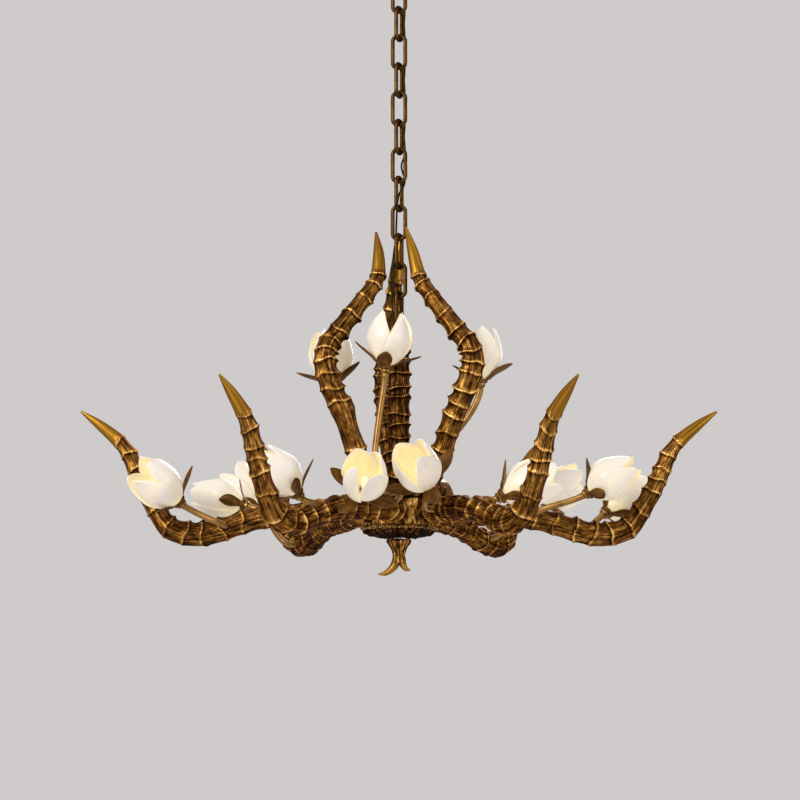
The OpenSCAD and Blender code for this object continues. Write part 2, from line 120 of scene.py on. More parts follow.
def shell_faces(rows, cols):
    """Faces of a thin closed shell: an outer sheet of points, an inner one on the same grid, and the rim."""
    n = rows * cols
    outer = grid_faces(rows, cols, closed=False)
    inner = [[k + n for k in face] for face in flipped(outer)]
    rim = list(range(cols)) + [i * cols + cols - 1 for i in range(1, rows)]
    rim += [(rows - 1) * cols + k for k in range(cols - 2, -1, -1)]
    rim += [i * cols for i in range(rows - 2, 0, -1)]
    return outer + inner + [[a, a + n, b + n, b] for a, b in zip(rim, rim[1:] + rim[:1])]


def tube_faces(rows, cols):
    """Faces of a tube made of rings, with a polygon at each end. They face out where the rings go up."""
    first, last = list(range(cols)), list(range((rows - 1) * cols, rows * cols))
    return grid_faces(rows, cols) + [first[::-1], last]


def ring_points(centres, side, up, radius, angle):
    """Points of a tube from the centre, sideways and upward vectors and radius of each ring."""
    across, above = radius * np.cos(angle), radius * np.sin(angle)
    return centres[:, None] + side[:, None] * across[..., None] + up[:, None] * above[..., None]


def ring_grain(size, angle, along):
    """Where each point of a tube lies for the materials' noise, in metres: round it and along it."""
    where = size * np.cos(angle)[None], size * np.sin(angle)[None], np.asarray(along, float)[:, None]
    return np.stack(np.broadcast_arrays(*where), -1).reshape(-1, 3)


class Build:
    """Collects points, faces and point values of one object."""

    def __init__(self):
        self.verts, self.faces, self.layers, self.count = [], [], {}, 0

    def add(self, verts, faces, **layers):
        verts = np.asarray(verts, float).reshape(-1, 3)
        self.faces += [[i + self.count for i in f] for f in faces]
        self.verts.append(verts)
        for key, value in layers.items():
            self.layers.setdefault(key, []).append(np.asarray(value, float))
        self.count += len(verts)

    def make(self, name, material, **options):
        layers = {k: np.concatenate(v) for k, v in self.layers.items()}
        return new_object(name, np.concatenate(self.verts), self.faces, material, layers=layers, **options)


def frames_along(centres, first):
    """Sideways and upward unit vectors carried along a line without twist."""
    ways = np.gradient(centres, axis=0)
    ways /= np.linalg.norm(ways, axis=1)[:, None]
    side = np.empty_like(ways)
    s = np.asarray(first, float)
    for i, w in enumerate(ways):
        s = unit(s - w * (s @ w))
        side[i] = s
    return side, np.cross(ways, side)


def sweep(build, centres, radii, sides, first=(0, 0, 1), shape=1.0, **values):
    """A closed tube along the centres. shape is a factor on the radius, or one for each side."""
    centres = np.asarray(centres, float)
    radii = np.broadcast_to(np.asarray(radii, float), len(centres))
    side, up = frames_along(centres, first)
    angle = np.linspace(0, 2 * np.pi, sides, endpoint=False)
    pts = ring_points(centres, side, up, radii[:, None] * shape, angle)
    faces = tube_faces(len(centres), sides)
    n = len(centres) * sides
    build.add(pts, faces, **{k: np.broadcast_to(v, n) if np.ndim(v) == 0 else v for k, v in values.items()})


# Materials
def shader(name, values):
    """A new material with its node tree and its main shader, which gets the named input values."""
    mat = bpy.data.materials.new(name)
    mat.use_nodes = True
    tree = mat.node_tree
    bsdf = tree.nodes["Principled BSDF"]
    for key, value in values.items():
        bsdf.inputs[key].default_value = value
    return mat, tree, bsdf


def add(tree, kind, inputs=None, **props):
    """A node of that kind, with inputs linked or set, and its own options."""
    node = tree.nodes.new(kind)
    for key, value in props.items():
        setattr(node, key, value)
    for key, value in (inputs or {}).items():
        if isinstance(value, bpy.types.NodeSocket):
            tree.links.new(value, node.inputs[key])
        else:
            node.inputs[key].default_value = value
    return node


def ramp(tree, source, stops):
    """Colour from a value, by stops of place and colour."""
    node = add(tree, "ShaderNodeValToRGB", {"Fac": source})
    ends = node.color_ramp.elements
    while len(ends) < len(stops):
        ends.new(0.5)
    for end, (place, colour) in zip(ends, stops):
        end.position = place
        end.color = (*colour, 1)
    return node.outputs["Color"]


def mixed(tree, fac, a, b):
    """Colour a where fac is 0, and b where it is 1. The node's colour inputs are its 7th and 8th."""
    return add(tree, "ShaderNodeMix", {"Factor": fac, 6: a, 7: b}, data_type="RGBA").outputs[2]


def maths(tree, op, a, b=0.5, c=0.0, clamp=False):
    """One sum on values that are sockets or numbers."""
    return add(tree, "ShaderNodeMath", {0: a, 1: b, 2: c}, operation=op, use_clamp=clamp).outputs[0]


def scaled(tree, source, gain, offset=0.0, clamp=False):
    """source times gain plus offset."""
    return maths(tree, "MULTIPLY_ADD", source, gain, offset, clamp)


def noise(tree, vector, scale, detail=4.0, rough=0.55, stretch=None):
    """Soft noise, 0 to 1. stretch holds waves per metre in x, y and z, where they differ."""
    if stretch:
        vector = add(tree, "ShaderNodeMapping", {"Vector": vector, "Scale": stretch}).outputs[0]
    inputs = {"Vector": vector, "Scale": scale, "Detail": detail, "Roughness": rough}
    return add(tree, "ShaderNodeTexNoise", inputs).outputs["Fac"]


def value_of(tree, name, out="Fac"):
    """One of the mesh's named point values."""
    return add(tree, "ShaderNodeAttribute", attribute_name=name).outputs[out]


def place(tree):
    """Where a point lies in the piece's own frame."""
    return add(tree, "ShaderNodeTexCoord").outputs["Object"]


def bump(tree, bsdf, height, strength, distance, first=None):
    """Fine bump, over a first one where it is given."""
    inputs = {"Height": height, "Strength": strength, "Distance": distance}
    if first:
        inputs["Normal"] = first
    node = add(tree, "ShaderNodeBump", inputs)
    tree.links.new(node.outputs[0], bsdf.inputs["Normal"])
    return node.outputs[0]


def resin_material(name):
    """Antique gold over dark brown: gold on crests, brown in grooves partly as painted shade, a painted
    shadow under each lip, a painted highlight along the arms' outer half, fibres along the horn.
    """
    mat, t, b = shader(name, {
        "Metallic": 0.85, "Specular IOR Level": 0.2, "Specular Tint": (0.22, 0.10, 0.03, 1),
    })
    grain = value_of(t, "grain", "Vector")
    relief = value_of(t, "relief")
    tip = value_of(t, "tip")
    fibre = noise(t, grain, 1.0, 6.0, 0.6, stretch=(430, 430, 13))
    fine = noise(t, grain, 1.0, 4.0, 0.6, stretch=(1400, 1400, 26))
    cloud = noise(t, grain, 75.0, 5.0, 0.6)
    blotch = noise(t, grain, 1.0, 5.0, 0.65, stretch=(150, 150, 70))
    level = scaled(t, fibre, 1.5, scaled(t, blotch, 1.5, -1.12))
    # Crest gold and painted shade from the mesh's point values raise or lower the colour
    level = maths(t, "ADD", level, maths(t, "MULTIPLY", relief, scaled(t, cloud, 1.3)))
    level = maths(t, "ADD", level, scaled(t, fine, 0.7, -0.35), clamp=True)
    body = ramp(t, level, [
        (0.0, (0.008, 0.003, 0.001)), (0.22, (0.030, 0.011, 0.003)), (0.44, (0.118, 0.047, 0.009)),
        (0.66, (0.32, 0.145, 0.028)), (0.85, (0.62, 0.32, 0.080)), (1.0, (0.88, 0.55, 0.18)),
    ])
    streak = noise(t, grain, 1.0, 5.0, 0.6, stretch=(360, 360, 9))
    horn = ramp(t, scaled(t, streak, 1.2, scaled(t, fine, 0.1, -0.14), clamp=True), [
        (0.15, (0.07, 0.028, 0.004)), (0.42, (0.24, 0.11, 0.012)), (0.62, (0.41, 0.205, 0.024)),
        (0.9, (0.70, 0.43, 0.085)),
    ])
    t.links.new(mixed(t, tip, body, horn), b.inputs["Base Color"])
    t.links.new(scaled(t, cloud, 0.3, 0.22), b.inputs["Roughness"])
    ridges = maths(t, "MULTIPLY", scaled(t, fine, 0.6, fibre), scaled(t, tip, -0.85, 1.0))
    first = bump(t, b, ridges, 0.6, 0.0013)
    pits = maths(t, "MULTIPLY", noise(t, grain, 900.0, 3.0), scaled(t, tip, -0.95, 1.0))
    bump(t, b, pits, 0.25, 0.0003, first)
    return mat


def cast_material(name, stops, metallic=0.3, rough=0.45, scale=120.0, depth=0.0006):
    """Cast, pressed or moulded surface with clouds of colour and a fine bump."""
    mat, t, b = shader(name, {"Metallic": metallic})
    where = place(t)
    cloud = noise(t, where, scale, 6.0, 0.62)
    t.links.new(ramp(t, cloud, stops), b.inputs["Base Color"])
    t.links.new(scaled(t, noise(t, where, scale * 3, 3.0), 0.3, rough - 0.15), b.inputs["Roughness"])
    bump(t, b, noise(t, where, scale * 5, 4.0), 0.35, depth)
    return mat


def petal_material():
    """Milky petal: a painted glow stands in for the lamp's light through it, warm where the lamp is near,
    cool cream outside, with painted shade where petals overlap and towards their inner edges; faint veins.
    """
    mat, t, b = shader("cream_petal", {
        "Roughness": 0.36, "Specular IOR Level": 0.3, "Subsurface Weight": 0.2, "Subsurface Scale": 0.01,
        "Subsurface Radius": (1.0, 0.75, 0.4), "Coat Weight": 0.1, "Coat Roughness": 0.3,
    })
    grain = value_of(t, "grain", "Vector")
    glow = value_of(t, "glow")
    vein = noise(t, grain, 1.0, 4.0, 0.55, stretch=(240, 240, 16))
    cloud = noise(t, grain, 34.0, 2.0)
    level = scaled(t, vein, 0.26, scaled(t, cloud, 0.8, -0.53))
    level = maths(t, "ADD", glow, level, clamp=True)
    skin = ramp(t, level, [
        (0.0, (0.57, 0.53, 0.49)), (0.25, (0.61, 0.55, 0.46)), (0.5, (0.66, 0.58, 0.41)),
        (1.0, (0.70, 0.63, 0.36)),
    ])
    t.links.new(skin, b.inputs["Base Color"])
    light = ramp(t, level, [
        (0.0, (0.32, 0.285, 0.255)), (0.2, (0.39, 0.33, 0.26)), (0.45, (0.52, 0.44, 0.27)),
        (0.7, (0.66, 0.58, 0.33)), (1.0, (0.84, 0.76, 0.38)),
    ])
    t.links.new(light, b.inputs["Emission Color"])
    b.inputs["Emission Strength"].default_value = 0.56
    bump(t, b, vein, 0.12, 0.0005)
    return mat


def leaf_material():
    """Bronze-brown leaf, lighter along its veins."""
    mat, t, b = shader("bronze_leaf", {"Metallic": 0.45, "Specular Tint": (0.6, 0.4, 0.22, 1)})
    grain = value_of(t, "grain", "Vector")
    vein = noise(t, grain, 1.0, 4.0, 0.6, stretch=(420, 420, 40))
    cloud = noise(t, grain, 60.0, 4.0)
    colour = ramp(t, scaled(t, vein, 0.7, scaled(t, cloud, 0.6, -0.15)), [
        (0.25, (0.022, 0.009, 0.003)), (0.5, (0.13, 0.056, 0.012)), (0.85, (0.44, 0.22, 0.050)),
    ])
    t.links.new(colour, b.inputs["Base Color"])
    t.links.new(scaled(t, cloud, 0.35, 0.24), b.inputs["Roughness"])
    bump(t, b, vein, 0.4, 0.0008)
    return mat


def tube_material(name, dark, light, metallic, rough, stretch=(500, 500, 20), gloss=0.5, edge=(1, 1, 1)):
    """Drawn tube or wire: streaks along it, edge tints what it mirrors at a low angle."""
    inputs = {"Metallic": metallic, "Specular IOR Level": gloss, "Specular Tint": (*edge, 1)}
    mat, t, b = shader(name, inputs)
    grain = value_of(t, "grain", "Vector")
    streak = noise(t, grain, 1.0, 4.0, 0.6, stretch=stretch)
    cloud = noise(t, grain, 90.0, 4.0)
    mix = scaled(t, streak, 0.6, scaled(t, cloud, 0.6, -0.1))
    t.links.new(ramp(t, mix, [(0.25, dark), (0.75, light)]), b.inputs["Base Color"])
    t.links.new(scaled(t, cloud, 0.3, rough - 0.12), b.inputs["Roughness"])
    bump(t, b, streak, 0.2, 0.0004)
    return mat


RESIN = resin_material("gold_brown_resin")
PETAL = petal_material()
LEAF = leaf_material()
STEM = tube_material("brass_stem", (0.13, 0.058, 0.012), (0.46, 0.25, 0.065), 0.75, 0.40)
CHAIN = tube_material("bronze_steel", (0.006, 0.0025, 0.001), (0.150, 0.070, 0.017), 0.9, 0.34,
                      stretch=(300, 300, 60), gloss=0.2, edge=(0.10, 0.05, 0.02))
CORD = tube_material("olive_cord", (0.012, 0.009, 0.003), (0.04, 0.03, 0.009), 0.0, 0.7,
                     stretch=(200, 200, 900), gloss=0.12)
DARK = cast_material("dark_resin", [
    (0.3, (0.02, 0.011, 0.006)), (0.55, (0.07, 0.038, 0.015)), (0.8, (0.24, 0.14, 0.045)),
])
GOLD = cast_material("antique_gold_metal", [
    (0.3, (0.10, 0.055, 0.018)), (0.55, (0.26, 0.15, 0.045)), (0.8, (0.46, 0.29, 0.10)),
], 0.7, 0.36, 60.0, 0.0002)
BEADS = cast_material("granular_gold", [
    (0.36, (0.02, 0.008, 0.003)), (0.52, (0.24, 0.11, 0.02)), (0.66, (0.80, 0.50, 0.15)),
], 0.8, 0.36, 330.0, 0.0012)
ZINC = cast_material("zinc_steel", [
    (0.3, (0.38, 0.38, 0.38)), (0.7, (0.62, 0.62, 0.61)),
], 1.0, 0.34, 200.0, 0.0001)
BRASS = cast_material("brass_holder", [
    (0.3, (0.17, 0.085, 0.02)), (0.7, (0.42, 0.24, 0.07)),
], 0.85, 0.36, 200.0, 0.0001)
WHITE = cast_material("white_plastic", [
    (0.3, (0.66, 0.66, 0.63)), (0.7, (0.75, 0.75, 0.72)),
], 0.0, 0.4, 90.0, 0.0001)
BLACK = cast_material("black_rubber", [
    (0.3, (0.012, 0.012, 0.012)), (0.7, (0.035, 0.035, 0.035)),
], 0.0, 0.6, 300.0, 0.0002)


def lamp_material():
    """A lit capsule lamp."""
    mat, t, b = shader("warm_lamp_glass", {"Roughness": 0.15, "Specular IOR Level": 0.5})
    cloud = noise(t, place(t), 300.0, 2.0)
    warm = ramp(t, cloud, [(0.3, (1.0, 0.78, 0.36)), (0.7, (1.0, 0.86, 0.5))])
    t.links.new(warm, b.inputs["Emission Color"])
    b.inputs["Base Color"].default_value = (0.9, 0.8, 0.55, 1)
    b.inputs["Emission Strength"].default_value = 0.85
    return mat


LAMP = lamp_material()


def dress(name, material):
    """Gives a CAD node's own mesh a material, where it needs no piece of its own."""
    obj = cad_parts[name]
    obj.data.materials.clear()
    obj.data.materials.append(material)


for node_name in ("canopy_cover", "canopy_collar"):
    dress(node_name, GOLD)
for node_name in ("ceiling_crossbar", "finial_washer", "horn_studs"):
    dress(node_name, ZINC)
dress("terminal_block", WHITE)
dress("cord_bush", BLACK)
dress("lamp_holders", BRASS)
dress("lamp_bulbs", LAMP)
dress("column_cap", DARK)

# Horns: points of a centre line as x, y, height over the hub's middle and radius, and ribs as places on it
ROOT_TURN = 28
ROOT = (50.05 * math.cos(math.radians(ROOT_TURN)), 50.05 * math.sin(math.radians(ROOT_TURN)))
ARM = [
    (*ROOT, 3, 17), (90, 26, 3, 17.5), (150, 14, 0, 17.5), (211, 11, -6, 17.5), (265, 5, -22, 18),
    (291, 2, -28, 18.5), (318, 0, -28, 18.5), (345, 0, -18, 17.5), (363, 0, 6, 15.5), (381, 0, 36, 14.5),
    (396, 0, 68, 13.5), (406, 0, 90, 12.5), (421, 0, 110, 10.5), (452, 0, 136, 6), (480, 0, 156, 1.2),
]
ARM_RIBS = [0.35, 0.9, 1.4, 1.85, 2.35, 2.85, 3.4, 4, 5, 5.95, 7, 8, 9, 9.45, 10, 11, 12]
PLATE_TOP = 42
UP = [
    (54, 0, PLATE_TOP + 0.05, 14), (63, 0, 68, 14.5), (75, 0, 95, 15.5), (93, 0, 143, 16.5),
    (114, 0, 184, 17.5), (126, 0, 218, 17.5), (123, -1, 245, 16.5), (105, -2, 268, 15.5), (75, -2, 305, 14),
    (46, -1, 342, 12.5), (36, -2, 360, 11), (30, -10, 397, 6.5), (26, -25, 433, 1.2),
]
UP_RIBS = [0.6, 1.3, 2, 2.5, 3, 3.5, 4, 4.6, 5.2, 5.8, 6.4, 7.1, 7.8, 8.5, 9.2, 10]
# Each crown horn's turn about the axis, and how far its line leans sideways
CROWN = [(210, 1), (330, 1), (100, 0.4)]


def rib_pattern(s, angle, crests, radius, seed, rise=0.07, groove=0.075, lip=1.2, slant=0.27, inner=0.5,
                wide=1.7):
    """Radius factor, colour value and share of smooth tip at each arc length s and angle, with ribs at
    crests. The colour value is gold on the crests and painted shade in the grooves, at the waists and under
    each lip.

    rise and groove are shares of the radius at a rib and between ribs, lip and wide a rib's height and width
    in mm, slant how unevenly it runs round, and inner how much more it stands out on one side of the horn.
    """
    r = np.random.default_rng(seed)
    n = len(crests)
    s, angle = s[:, None], angle[None]
    mean_r = np.interp(crests, s[:, 0], radius)
    shift = np.zeros((n, angle.shape[1]))
    for harmonic, size in ((1, slant), (2, slant * 0.45), (3, slant * 0.3), (5, slant * 0.16)):
        height = (r.uniform(0.4, 1, n) * size * mean_r)[:, None]
        shift += height * np.cos(harmonic * angle + r.uniform(0, 6.28, n)[:, None])
    line = np.asarray(crests)[:, None] + shift
    line = np.maximum.accumulate(line + np.arange(n)[:, None] * 0.01, axis=0)
    below, above = np.full((1, angle.shape[1]), -12.0), np.full((1, angle.shape[1]), 1e4)
    line = np.concatenate([below, line, above])
    k = np.sum(s[..., None] >= line.T[None], axis=-1) - 1
    cols = np.broadcast_to(np.arange(angle.shape[1]), k.shape)
    low, high = line[k, cols], line[np.minimum(k + 1, n + 1), cols]
    after, before = s - low, high - s
    f = np.clip(after / np.minimum(high - low, 60), 0, 1)
    power = np.concatenate([[0.0], r.uniform(0.6, 1.15, n), [0.0]])
    lip_after, lip_before = power[k], power[np.minimum(k + 1, n + 1)]
    weave = 0.75 + 0.25 * np.sin(3 * angle + k * 1.7)
    bead = lip_after * np.exp(-(after / wide) ** 2) + lip_before * np.exp(-(before / wide * 1.9) ** 2)
    bead = bead * weave
    waist = np.sin(np.pi * f ** 1.12) ** 0.75
    lean = 1 + inner * np.sin(angle)
    body = (rise - (rise + groove) * waist) * lean
    tip = smooth(s - line[n], 2.0, 9.0) * np.ones_like(f)
    body = np.where(tip > 0, rise * np.exp(-after / 16), body)
    grooves = np.zeros_like(f)
    for j, (count, size) in enumerate(((7, 0.0208), (11, 0.0195), (16, 0.0169))):
        phase = r.uniform(0, 6.28, n + 2)[k] + s * r.uniform(-0.02, 0.02)
        phase = phase + 0.35 * np.sin(s * 0.09 + j * 2 + k)
        grooves += size * (np.abs(np.sin(count * angle / 2 + phase)) - 0.64)
    grooves *= (1 - 0.75 * tip) * (0.6 + 0.4 * np.sin(2 * angle + 1.3 * k + r.uniform(0, 6)))
    knobs = 0.018 * np.sin(2 * angle + 0.11 * s + seed) * np.sin(0.07 * s + seed) * (1 - tip)
    factor = 1 + body + grooves + knobs + lip * bead / np.maximum(radius[:, None], 5)
    # Painted shadow: under darkens a narrow band on the root side of each rib's lip, as if the lip shaded it
    under = lip_before * np.exp(-(before / 3.4) ** 2)
    # Colour value: gold on lips and crests, painted shade in the fibre grooves and at each segment's waist
    relief = 0.85 * bead + 0.12 * (1 - waist) + 7.0 * grooves - 0.75 * under * (before > 0.9)
    return factor, np.where(tip > 0, 0.35 * np.exp(-after / 8), np.clip(relief, -0.7, 0.9)), tip


def horn(name, points, ribs, node, seed, turn, root, gold=0.0, glint=0.0, plump=0.0, **pattern):
    """A ribbed horn along CAD's own line, turned about the axis. root moves two rings into its seat."""
    steps, sides = 330, 84
    points = np.array(points, float)
    last = len(points) - 1
    fine = np.linspace(0, last, 3000)
    path = on_curve(points, fine)
    length = np.concatenate([[0], np.cumsum(np.linalg.norm(np.diff(path[:, :3], axis=0), axis=1))])
    s = np.linspace(0, length[-1], steps)
    t = np.interp(s, length, fine)
    line = on_curve(points, t)
    centre, radius = line[:, :3], np.maximum(line[:, 3], 0.5)
    angle = np.linspace(0, 2 * np.pi, sides, endpoint=False)
    crests = np.interp(ribs, fine, length)
    share = np.clip((s - crests[-1]) / (length[-1] - crests[-1]), 0, 1)
    radius = radius * (1 + plump * (np.sin(np.pi * share**1.6) + 2 * share**6))
    factor, relief, tip = rib_pattern(s, angle, crests, radius, seed, **pattern)
    # gold shifts the whole piece's colour; glint adds a painted highlight over the outer half of the horn's
    # length
    relief = relief + gold + glint * smooth(s / s[-1], 0.5, 0.85)[:, None]
    way = np.gradient(centre, axis=0)
    way /= np.linalg.norm(way, axis=1)[:, None]
    side = np.array([0, 1.0, 0]) - way * way[:, 1:2]
    side /= np.linalg.norm(side, axis=1)[:, None]
    up = np.cross(way, side)
    s = np.concatenate([[s[0] - 20, s[0] - 9], s])
    centre = np.concatenate([centre[0] + np.array(root, float), centre])
    radius, side, up, factor, relief, tip = (
        np.concatenate([x[:1], x[:1], x]) for x in (radius, side, up, factor, relief, tip)
    )
    pts = ring_points(centre, side, up, radius[:, None] * factor, angle)
    pts = turn_z(pts, turn) + np.array([0, 0, HUB_Z])
    faces = tube_faces(len(s), sides)
    grain = ring_grain(0.017, angle, s * MM + seed)
    build = Build()
    build.add(pts, faces, grain=grain, relief=relief.ravel(), tip=tip.ravel())
    build.make(name, RESIN, slot="gold_brown_resin", node=node)


for n in range(6):
    horn(f"arm_horn_skin_{n + 1}", ARM, ARM_RIBS, f"arm_horn_{n + 1}", 11 + n, 60 * n,
         ((-20, -10, 0), (-9, -5, 0)), gold=0.06, glint=0.12, plump=0.22, wide=2.0, lip=1.4)
for n, (turn, lean) in enumerate(CROWN):
    line = [(x, y * lean, z, r) for x, y, z, r in UP]
    # The left front horn shows fewer ribs near its foot
    ribs = [k for k in UP_RIBS if n or k > 3.2 or k in (0.6, 2)]
    horn(f"crown_horn_skin_{n + 1}", line, ribs, f"crown_horn_{n + 1}", 31 + n, turn,
         ((0, 0, -8), (0, 0, -4)), gold=0.11, plump=0.3, lip=1.7, rise=0.10, inner=0.6, wide=2.3, slant=0.24)


# Column: stacked wavy ridges between crown plate and cap
COLUMN_H, COLUMN_R, RIDGES = 213.8, 17.2, 11


def column_skin():
    """The column's ridges, the last one close under the cap."""
    sides, s = 72, np.linspace(0, COLUMN_H, 300)
    angle = np.linspace(0, 2 * np.pi, sides, endpoint=False)
    k = np.arange(RIDGES)
    crests = 15 + 214 / RIDGES * k + 2 * np.sin(2.3 * k)
    crests[-1] = 208
    radius = np.full(len(s), COLUMN_R)
    factor, relief, _ = rib_pattern(s, angle, crests, radius, 77, rise=0.06, groove=0.10, lip=1.9,
                                      slant=0.22, inner=0.0, wide=2.2)
    r = radius[:, None] * factor
    pts = np.stack([r * np.cos(angle), r * np.sin(angle), s[:, None] + PLATE_TOP + HUB_Z + 0 * r], -1)
    faces = tube_faces(len(s), sides)
    relief = relief.ravel() - 0.1
    build = Build()
    build.add(pts, faces, grain=ring_grain(0.017, angle, s * MM + 3), relief=relief, tip=0 * relief)
    build.make("column_skin", RESIN, slot="gold_brown_resin", node="column")


column_skin()


# Hub: uneven cast pieces turned about the axis, heights from the hub's middle
def lumpy(shape, seed, passes):
    """Soft random lumps, mean 0 and spread 1."""
    x = np.random.default_rng(seed).random(shape)
    for _ in range(passes):
        x = (x + np.roll(x, 1, 0) + np.roll(x, -1, 0) + np.roll(x, 1, 1) + np.roll(x, -1, 1)) / 5
    return (x - x.mean()) / x.std()


def turned_piece(name, outline, node, material, seed, slot="gold_brown_resin", grooves=0.0, lumps=0.0,
                 passes=4, six=None, gold=0.0, sides=216, step=1.5):
    """A casting turned from its outline, with grooves, lumps, and six flats if six gives their angle."""
    outline = np.asarray(outline, float)
    gone = np.concatenate([[0], np.cumsum(np.linalg.norm(np.diff(outline, axis=0), axis=1))])
    s = np.linspace(0, gone[-1], max(10, int(gone[-1] / step)))
    rad, z = np.interp(s, gone, outline[:, 0]), np.interp(s, gone, outline[:, 1])
    a = np.linspace(0, 2 * np.pi, sides, endpoint=False)
    r = np.random.default_rng(seed)
    wave = np.zeros((len(s), sides))
    for count, size in ((48, 0.5), (80, 0.5), (120, 0.4)):
        drift = r.uniform(-0.05, 0.05) * z[:, None] + 0.5 * np.sin(z[:, None] * r.uniform(0.1, 0.25) + 5 * a)
        wave += size * (np.abs(np.sin(count * a / 2 + r.uniform(0, 6) + drift)) - 0.64)
    bumps = lumpy(wave.shape, seed, passes)
    weight = smooth(rad, 6, 12)[:, None]
    if six is not None:
        near = (np.degrees(a) - six + 30) % 60 - 30
        rad = rad[:, None] * np.minimum(1 / np.cos(np.radians(near)), 1.11)
    else:
        rad = rad[:, None] + 0 * a
    rad = rad + weight * (grooves * wave + lumps * bumps)
    high = z[:, None] + weight * lumps * 0.5 * np.roll(bumps, 7, 1)
    pts = np.stack([rad * np.cos(a), rad * np.sin(a), high + HUB_Z], -1)
    faces = tube_faces(len(s), sides)
    if z[-1] < z[0]:
        faces = flipped(faces)
    grain = ring_grain(outline[:, 0].max() * MM, a, s * MM + seed)
    # Colour value: gold on ridges and raised lumps, painted shade in the grooves between them
    relief = np.clip(0.55 * wave * (grooves > 0) + 0.16 * bumps + gold, -0.6, 0.9).ravel()
    build = Build()
    build.add(pts, faces, grain=grain, relief=relief, tip=0 * relief)
    build.make(name, material, slot=slot, node=node)


HUB = [(5.4, -18), (49.4, -18), (50, -17), (50, 22), (49.4, 23), (5.4, 23)]
PLATE = [(5.4, 23), (59, 23), (64, 25), (69, 29), (71.5, 35), (70, 41), (66, 42), (5.4, 42)]
BAND = [(5.4, -24), (53, -24), (56, -23), (57.5, -21), (56, -19), (53, -18), (5.4, -18)]
DISH = [(5.4, -24), (54, -24), (52, -28), (44, -31.5), (30, -34), (14, -35), (5.4, -35)]
turned_piece("hub_bark", HUB, "hub_core", RESIN, 51, grooves=1.9, lumps=0.35, six=ROOT_TURN, gold=0.38)
turned_piece("crown_plate_rock", PLATE, "crown_plate", RESIN, 52, grooves=0.8, lumps=1.2, gold=-0.02)
turned_piece("grained_band", BAND, "bead_band", BEADS, 53, lumps=1.1, passes=2, sides=300, step=0.9)
turned_piece("lower_dish_bark", DISH, "lower_dish", RESIN, 54, slot="dark_resin",
             grooves=0.8, lumps=1.0, gold=-0.42)


def finial():
    """The folded cap under the dish, with two small horns below it."""
    build = Build()
    sides, rows = 72, 60
    s = np.linspace(0, 1, rows)
    outline = np.array([
        (0.5, 0), (18.2, 0), (18.8, -3), (17.5, -6), (13, -12), (9.8, -19), (9, -25), (10, -31),
        (10.6, -35.6), (0.5, -36),
    ])
    gone = np.concatenate([[0], np.cumsum(np.linalg.norm(np.diff(outline, axis=0), axis=1))])
    rad, z = np.interp(s * gone[-1], gone, outline[:, 0]), np.interp(s * gone[-1], gone, outline[:, 1])
    a = np.linspace(0, 2 * np.pi, sides, endpoint=False)
    wave = 0.8 * (np.abs(np.sin(5.5 * a + 0.05 * z[:, None])) - 0.64)
    wave = wave + 0.5 * (np.abs(np.sin(9 * a + 2 + 0.04 * z[:, None])) - 0.64)
    bumps = lumpy(wave.shape, 5, 3)
    weight = smooth(rad, 2, 7)[:, None]
    out = rad[:, None] + weight * (0.9 * wave + 0.3 * bumps)
    pts = np.stack([out * np.cos(a), out * np.sin(a), z[:, None] - 37 + HUB_Z + 0 * out], -1)
    faces = flipped(tube_faces(rows, sides))
    # Colour value: gold on ridges and raised lumps, painted shade in the grooves between them
    relief = np.clip(0.6 * wave + 0.12 * bumps + 0.12, -0.6, 0.9).ravel()
    tip = 0.25 * smooth(-z, 12, 34).repeat(sides)
    build.add(pts, faces, grain=ring_grain(0.017, a, s * 0.07), relief=relief, tip=tip)
    for line in (
        [(-3, 0, -64, 7), (-5, 0, -72, 6.6), (-10, 0, -80, 5.6), (-20, 0, -87.5, 3.8), (-31, 0, -89, 1.0)],
        [(4, 0, -65, 6.2), (5, 0, -72, 5.6), (7.5, 0, -77.5, 4.8), (11, 0, -81.5, 3.4), (17, 0, -83, 1.0)],
    ):
        path = on_curve(line, np.linspace(0, 4, 40))
        ring = np.linspace(0, 2 * np.pi, 24, endpoint=False)
        shape = 1 + 0.05 * (np.abs(np.sin(2.5 * ring + 1)) - 0.6)
        grain = ring_grain(0.006, ring, np.linspace(0, 0.05, 40))
        sweep(build, path[:, :3] + (0, 0, HUB_Z), path[:, 3], 24, first=(0, 1, 0), shape=shape,
              grain=grain, relief=0.3, tip=0.6)
    build.make("finial_branch", RESIN, slot="gold_brown_resin", node=["finial_cap", "finial_horns"])


finial()


